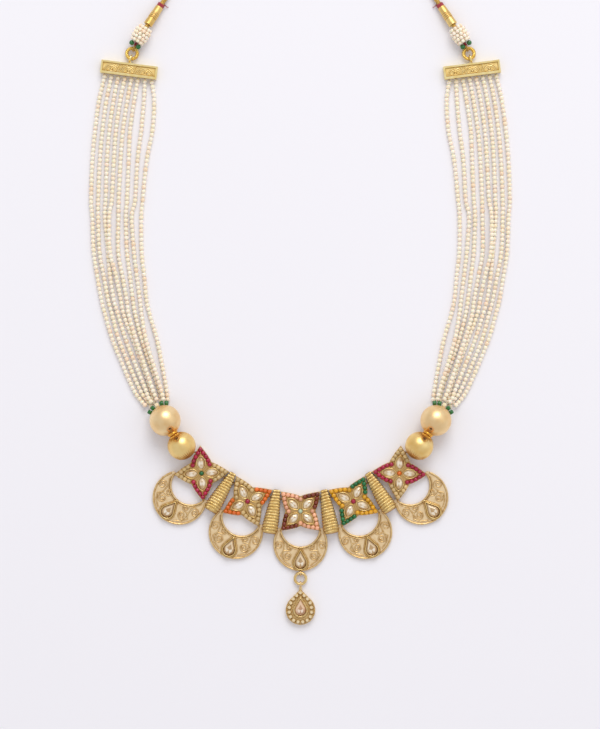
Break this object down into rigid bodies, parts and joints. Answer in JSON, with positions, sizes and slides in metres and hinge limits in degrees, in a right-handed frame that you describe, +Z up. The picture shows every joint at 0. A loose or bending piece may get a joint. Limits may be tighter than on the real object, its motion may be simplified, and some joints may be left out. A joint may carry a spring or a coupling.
{
  "type": "kundan necklace",
  "caption": "Kundan style bridal necklace: seed pearl strands, gold end bars and balls, flower and crescent pendants with set stones, a pear drop and an adjustable cord.",
  "frame": {"origin": "on the surface that the necklace lies on, under the middle of its length without the cord", "axes": "+Y from the pear drop towards the nape, +Z up from the face, +X to the right as seen from the front"},
  "size_m": [0.1776, 0.2936, 0.0143],
  "materials": {
    "seed_pearl": "pearl lustre",
    "antique_gold": "matt antique gold",
    "satin_gold": "satin gold",
    "clear_stone": "polished, foil backed",
    "colour_stone_1": "polished",
    "colour_stone_2": "polished",
    "colour_stone_3": "polished",
    "colour_stone_4": "polished",
    "colour_stone_5": "polished",
    "green_bead": "polished",
    "thread": "twisted thread",
    "dori_cord": "twisted zari thread"
  },
  "bodies": {
    "root": {"pearl_strand_left_1": "seed_pearl", "pearl_strand_left_2": "seed_pearl", "pearl_strand_left_3": "seed_pearl", "pearl_strand_left_4": "seed_pearl", "pearl_strand_left_5": "seed_pearl", "pearl_strand_left_6": "seed_pearl", "pearl_strand_left_7": "seed_pearl", "pearl_strand_left_8": "seed_pearl", "pearl_strand_right_1": "seed_pearl", "pearl_strand_right_2": "seed_pearl", "pearl_strand_right_3": "seed_pearl", "pearl_strand_right_4": "seed_pearl", "pearl_strand_right_5": "seed_pearl", "pearl_strand_right_6": "seed_pearl", "pearl_strand_right_7": "seed_pearl", "pearl_strand_right_8": "seed_pearl", "end_bar_left": "antique_gold", "end_bar_right": "antique_gold", "rope_ring_left": "antique_gold", "rope_ring_right": "antique_gold", "pearl_barrel_left": "seed_pearl", "pearl_barrel_right": "seed_pearl", "dori_green_beads_left": "green_bead", "dori_green_beads_right": "green_bead", "dori_tube_left": "antique_gold", "dori_tube_right": "antique_gold", "bead_crown_left": "green_bead", "bead_crown_right": "green_bead", "large_gold_bead_left": "satin_gold", "large_gold_bead_right": "satin_gold", "spacer_rings_left": "antique_gold", "spacer_rings_right": "antique_gold", "small_gold_bead_left": "satin_gold", "small_gold_bead_right": "satin_gold", "pendant_1": "antique_gold", "pendant_2": "antique_gold", "pendant_3": "antique_gold", "pendant_4": "antique_gold", "pendant_5": "antique_gold", "kundan_stones_1": "clear_stone", "kundan_stones_2": "clear_stone", "kundan_stones_3": "clear_stone", "kundan_stones_4": "clear_stone", "kundan_stones_5": "clear_stone", "colour_beads_1": "colour_stone_1", "colour_beads_2": "colour_stone_2", "colour_beads_3": "colour_stone_3", "colour_beads_4": "colour_stone_4", "colour_beads_5": "colour_stone_5", "ribbed_spacer_1": "antique_gold", "ribbed_spacer_2": "antique_gold", "ribbed_spacer_3": "antique_gold", "ribbed_spacer_4": "antique_gold", "stringing_thread": "thread", "jump_ring": "antique_gold", "centre_drop": "antique_gold", "drop_stone": "clear_stone", "drop_pave_stones": "clear_stone", "dori_cord": "dori_cord", "dori_slider": "antique_gold"}
  },
  "joints": []
}
